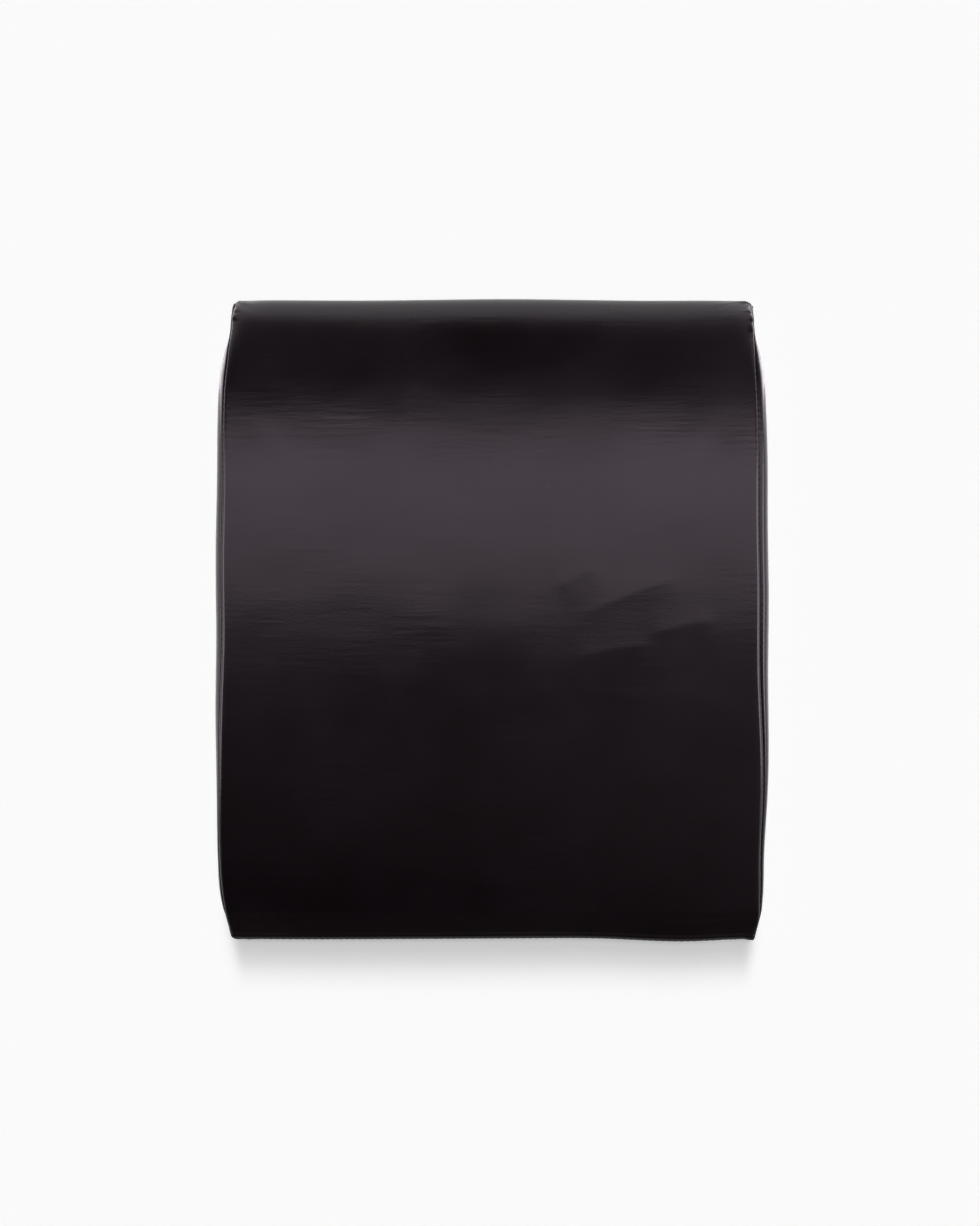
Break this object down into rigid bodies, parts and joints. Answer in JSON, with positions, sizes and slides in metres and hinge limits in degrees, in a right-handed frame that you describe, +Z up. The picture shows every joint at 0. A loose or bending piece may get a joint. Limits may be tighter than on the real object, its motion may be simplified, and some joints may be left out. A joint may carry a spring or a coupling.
{
  "type": "ab mat",
  "caption": "Arched foam pad in a sewn faux-leather cover, laid under the lower back for sit-ups, with a zip in its tall end.",
  "frame": {"origin": "on the floor under the middle of the mat", "axes": "+X across the width, +Y from the tall zipped end to the low rounded nose, +Z up"},
  "size_m": [0.31, 0.37, 0.065],
  "materials": {
    "faux_leather": "satin",
    "non_slip_vinyl": "matte",
    "foam": "matte",
    "zip_tape": "matte",
    "zip_teeth": "satin",
    "zip_metal": "satin",
    "thread": "satin"
  },
  "bodies": {
    "mat": {"foam_core": "foam", "top_panel": "faux_leather", "left_gusset": "faux_leather", "right_gusset": "faux_leather", "upper_zip_strip": "faux_leather", "lower_zip_strip": "faux_leather", "base_panel": "non_slip_vinyl", "upper_zip_tape": "zip_tape", "lower_zip_tape": "zip_tape", "upper_zip_teeth": "zip_teeth", "lower_zip_teeth": "zip_teeth", "upper_zip_top_stop": "zip_metal", "lower_zip_top_stop": "zip_metal", "zip_bottom_stop": "zip_metal", "left_gusset_thread": "thread", "right_gusset_thread": "thread", "rear_seam_thread": "thread", "rear_base_thread": "thread", "front_base_thread": "thread", "upper_zip_stitching": "thread", "lower_zip_stitching": "thread"},
    "slider": {"zip_slider": "zip_metal"},
    "pull_tab": {"zip_pull_tab": "zip_metal"}
  },
  "joints": [
    {"name": "zip_slide", "type": "slide", "parent": "mat", "child": "slider", "axis": [1, 0, 0], "range_m": [-0.224, 0]},
    {"name": "tab_turn", "type": "hinge", "parent": "slider", "child": "pull_tab", "pos_m": [0.112, -0.1838, 0.02], "axis": [0, 0, 1], "range_deg": [0, 165]}
  ]
}
